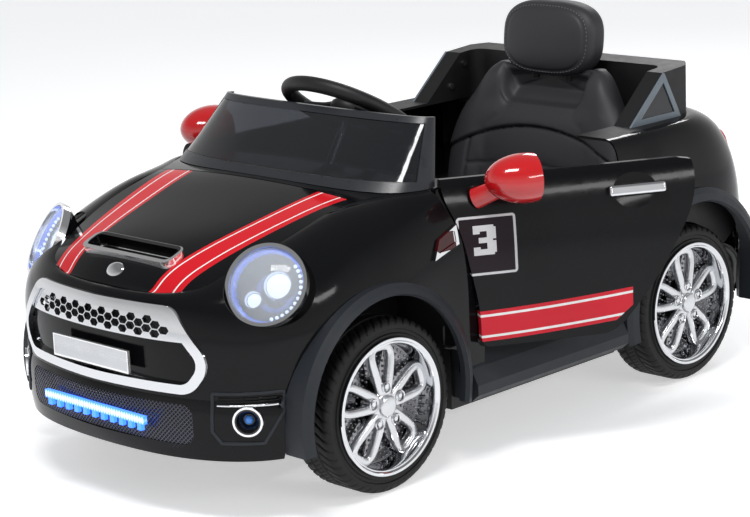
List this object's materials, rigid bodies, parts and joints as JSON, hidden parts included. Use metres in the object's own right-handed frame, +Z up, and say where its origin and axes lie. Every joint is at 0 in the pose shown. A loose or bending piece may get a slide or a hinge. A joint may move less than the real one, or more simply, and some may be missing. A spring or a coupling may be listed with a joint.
{
  "type": "electric ride-on car",
  "caption": "Child's electric ride-on roadster with opening doors, coupled front-wheel steering, padded seat with head rest, hood scoop, lit lamps and a honeycomb grille.",
  "frame": {"origin": "on the ground under the middle of the wheelbase, in the centre plane", "axes": "+X forward, +Y to the driver's left, +Z up; the left door stands open at rest"},
  "size_m": [1.1568, 0.8093, 0.568],
  "materials": {
    "gloss_black": "high gloss black moulded plastic",
    "matte_black": "fine grained matte black moulding",
    "trim_grey": "satin dark grey trim",
    "chrome": "bright plated plastic",
    "aluminium": "brushed plate",
    "tyre": "black tread",
    "silver": "silver lacquer and plated rim",
    "steel": "zinc plated steel",
    "clear_lens": "clear lamp cover",
    "tinted_glass": "dark tinted pane",
    "blue_light": "lit blue light bar",
    "red_lens": "red tail lamp cover",
    "red_gloss": "gloss red",
    "black_leather": "stitched black leatherette",
    "case_black": "plain dark case"
  },
  "bodies": {
    "chassis": {"battery": "case_black", "bumper_mesh": "matte_black", "chassis_tub": "matte_black", "control_unit": "case_black", "dashboard": "matte_black", "deck_screws": "steel", "flares_and_sills": "trim_grey", "fog_lamps": "chrome", "front_axle_beam": "steel", "front_body": "gloss_black", "front_bumper": "gloss_black", "grille_honeycomb": "chrome", "grille_panel": "gloss_black", "grille_surround": "chrome", "headlamp_bowls": "chrome", "headlamp_lenses": "clear_lens", "headrest": "black_leather", "hinge_pillars": "steel", "hood": "gloss_black", "hood_scoop": "chrome", "left_drive": "case_black", "light_bar": "blue_light", "number_plate": "aluminium", "quarter_trims": "trim_grey", "rear_axle": "steel", "rear_body": "gloss_black", "rear_bumper": "gloss_black", "rear_deck": "matte_black", "right_drive": "case_black", "scuttle_panel": "gloss_black", "seat_back": "black_leather", "seat_cushion": "black_leather", "side_vents": "chrome", "tail_lamps": "red_lens", "tinted_panes": "tinted_glass", "windscreen_frame": "trim_grey"},
    "left_knuckle": {"left_knuckle": "steel"},
    "right_knuckle": {"right_knuckle": "steel"},
    "tie_rod": {"tie_rod": "steel"},
    "front_left_wheel": {"front_left_tyre": "tyre", "front_left_wheel": "silver"},
    "front_right_wheel": {"front_right_tyre": "tyre", "front_right_wheel": "silver"},
    "rear_left_wheel": {"rear_left_tyre": "tyre", "rear_left_wheel": "silver"},
    "rear_right_wheel": {"rear_right_tyre": "tyre", "rear_right_wheel": "silver"},
    "steering": {"steering_column": "steel", "steering_wheel": "matte_black"},
    "horn_pad": {"horn_pad": "matte_black"},
    "accelerator_pedal": {"accelerator_pedal": "matte_black"},
    "direction_rocker": {"direction_rocker": "matte_black"},
    "start_button": {"start_button": "red_gloss"},
    "left_door": {"left_door": "gloss_black", "left_door_handle": "chrome", "left_mirror": "red_gloss"},
    "right_door": {"right_door": "gloss_black", "right_door_handle": "chrome", "right_mirror": "red_gloss"}
  },
  "joints": [
    {"name": "left_door_hinge", "type": "hinge", "parent": "chassis", "child": "left_door", "pos_m": [0.175, 0.2795, 0.24], "axis": [0, 0, -1], "range_deg": [-30, 15]},
    {"name": "right_door_hinge", "type": "hinge", "parent": "chassis", "child": "right_door", "pos_m": [0.175, -0.2795, 0.24], "axis": [0, 0, 1], "range_deg": [0, 45]},
    {"name": "steering_turn", "type": "hinge", "parent": "chassis", "child": "steering", "pos_m": [0.29547, 0, 0.1636], "axis": [-0.5446, 0, 0.8387], "range_deg": [-60, 60]},
    {"name": "left_knuckle_turn", "type": "hinge", "parent": "chassis", "child": "left_knuckle", "pos_m": [0.332, 0.185, 0.12], "axis": [0, 0, 1], "range_deg": [-20, 20]},
    {"name": "right_knuckle_turn", "type": "hinge", "parent": "chassis", "child": "right_knuckle", "pos_m": [0.332, -0.185, 0.12], "axis": [0, 0, 1], "range_deg": [-20, 20]},
    {"name": "tie_rod_slide", "type": "slide", "parent": "chassis", "child": "tie_rod", "axis": [0, 1, 0], "range_m": [-0.0155, 0.0155]},
    {"name": "front_left_spin", "type": "hinge", "parent": "left_knuckle", "child": "front_left_wheel", "pos_m": [0.332, 0.25, 0.12], "axis": [0, 1, 0], "continuous": true},
    {"name": "front_right_spin", "type": "hinge", "parent": "right_knuckle", "child": "front_right_wheel", "pos_m": [0.332, -0.25, 0.12], "axis": [0, 1, 0], "continuous": true},
    {"name": "rear_left_spin", "type": "hinge", "parent": "chassis", "child": "rear_left_wheel", "pos_m": [-0.332, 0.25, 0.12], "axis": [0, 1, 0], "continuous": true},
    {"name": "rear_right_spin", "type": "hinge", "parent": "chassis", "child": "rear_right_wheel", "pos_m": [-0.332, -0.25, 0.12], "axis": [0, 1, 0], "continuous": true},
    {"name": "pedal_press", "type": "hinge", "parent": "chassis", "child": "accelerator_pedal", "pos_m": [0.192, -0.062, 0.096], "axis": [0, 1, 0], "range_deg": [0, 12], "stiffness_Nm_per_rad": 3, "springref_deg": -5.73},
    {"name": "horn_press", "type": "slide", "parent": "steering", "child": "horn_pad", "axis": [0.5446, 0, -0.8387], "range_m": [0, 0.003], "stiffness_N_per_m": 600, "springref_m": -0.002},
    {"name": "rocker_tilt", "type": "hinge", "parent": "chassis", "child": "direction_rocker", "pos_m": [0.116, 0.07, 0.33], "axis": [0, 1, 0], "range_deg": [-8, 8]},
    {"name": "start_press", "type": "slide", "parent": "chassis", "child": "start_button", "axis": [1, 0, 0], "range_m": [0, 0.003], "stiffness_N_per_m": 500, "springref_m": -0.002}
  ],
  "couplings": [
    {"joint": "left_knuckle_turn", "follows": "steering_turn", "ratio": 0.33333},
    {"joint": "right_knuckle_turn", "follows": "steering_turn", "ratio": 0.33333},
    {"joint": "tie_rod_slide", "follows": "steering_turn", "m_per_rad": -0.0147}
  ]
}
